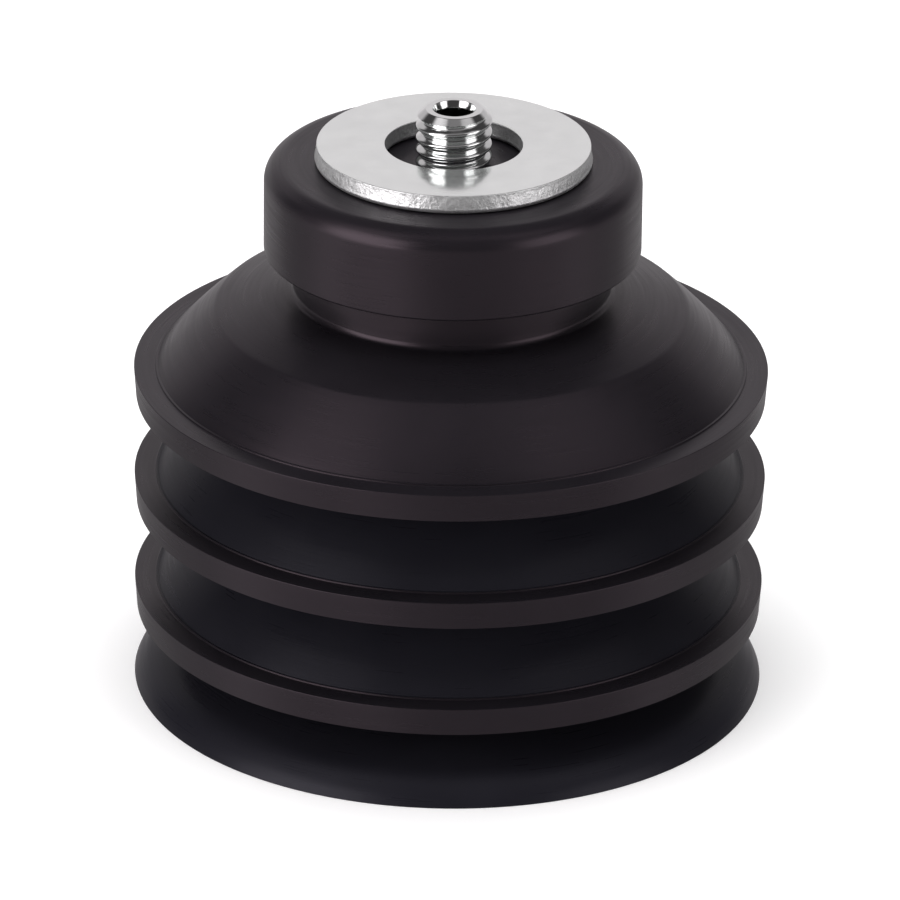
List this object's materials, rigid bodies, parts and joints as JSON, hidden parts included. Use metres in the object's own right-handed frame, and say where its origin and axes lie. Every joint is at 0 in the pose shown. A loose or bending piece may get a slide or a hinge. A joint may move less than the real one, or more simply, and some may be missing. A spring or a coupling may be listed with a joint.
{
  "type": "bellows suction cup",
  "caption": "Round rubber bellows suction cup with a thin sealing lip, a thick collar, a clamp washer and a hollow threaded stud for vacuum.",
  "frame": {"origin": "centre of the sealing lip's contact plane, the part's lowest point", "axes": "+Z along the cup's axis, from the lip up to the threaded stud"},
  "size_m": [0.05, 0.05, 0.0482],
  "materials": {
    "rubber": "moulded nitrile rubber, semi-gloss, with fine turned marks",
    "zinc_steel": "punched steel plate, bright zinc plated",
    "nickel_brass": "turned, polished nickel plate"
  },
  "bodies": {
    "collar": {"head": "rubber", "clamp_washer": "zinc_steel", "threaded_stud": "nickel_brass", "support_disc": "zinc_steel"},
    "neck_link": {"neck": "rubber"},
    "shoulder_link": {"shoulder": "rubber"},
    "upper_fold": {"fold_1": "rubber", "web_1": "rubber"},
    "middle_fold": {"fold_2": "rubber", "web_2": "rubber"},
    "lower_fold": {"fold_3": "rubber", "web_3": "rubber"},
    "lip": {"sealing_lip": "rubber"}
  },
  "joints": [
    {"name": "tilt_x", "type": "hinge", "parent": "collar", "child": "neck_link", "pos_m": [0, 0, 0.03418], "axis": [1, 0, 0], "range_deg": [-4, 4], "stiffness_Nm_per_rad": 0.6, "deforming": ["neck"]},
    {"name": "tilt_y", "type": "hinge", "parent": "neck_link", "child": "shoulder_link", "pos_m": [0, 0, 0.03418], "axis": [0, 1, 0], "range_deg": [-4, 4], "stiffness_Nm_per_rad": 0.6},
    {"name": "shoulder_stroke", "type": "slide", "parent": "shoulder_link", "child": "upper_fold", "axis": [0, 0, 1], "range_m": [0, 0.0027], "deforming": ["shoulder"]},
    {"name": "upper_stroke", "type": "slide", "parent": "upper_fold", "child": "middle_fold", "axis": [0, 0, 1], "range_m": [0, 0.0036], "stiffness_N_per_m": 3000, "springref_m": -0.001, "deforming": ["web_1"]},
    {"name": "lower_stroke", "type": "slide", "parent": "middle_fold", "child": "lower_fold", "axis": [0, 0, 1], "range_m": [0, 0.0036], "deforming": ["web_2"]},
    {"name": "lip_stroke", "type": "slide", "parent": "lower_fold", "child": "lip", "axis": [0, 0, 1], "range_m": [0, 0.00225], "deforming": ["web_3"]}
  ],
  "couplings": [
    {"joint": "shoulder_stroke", "follows": "upper_stroke", "ratio": 0.75},
    {"joint": "lower_stroke", "follows": "upper_stroke", "ratio": 1},
    {"joint": "lip_stroke", "follows": "upper_stroke", "ratio": 0.625}
  ]
}
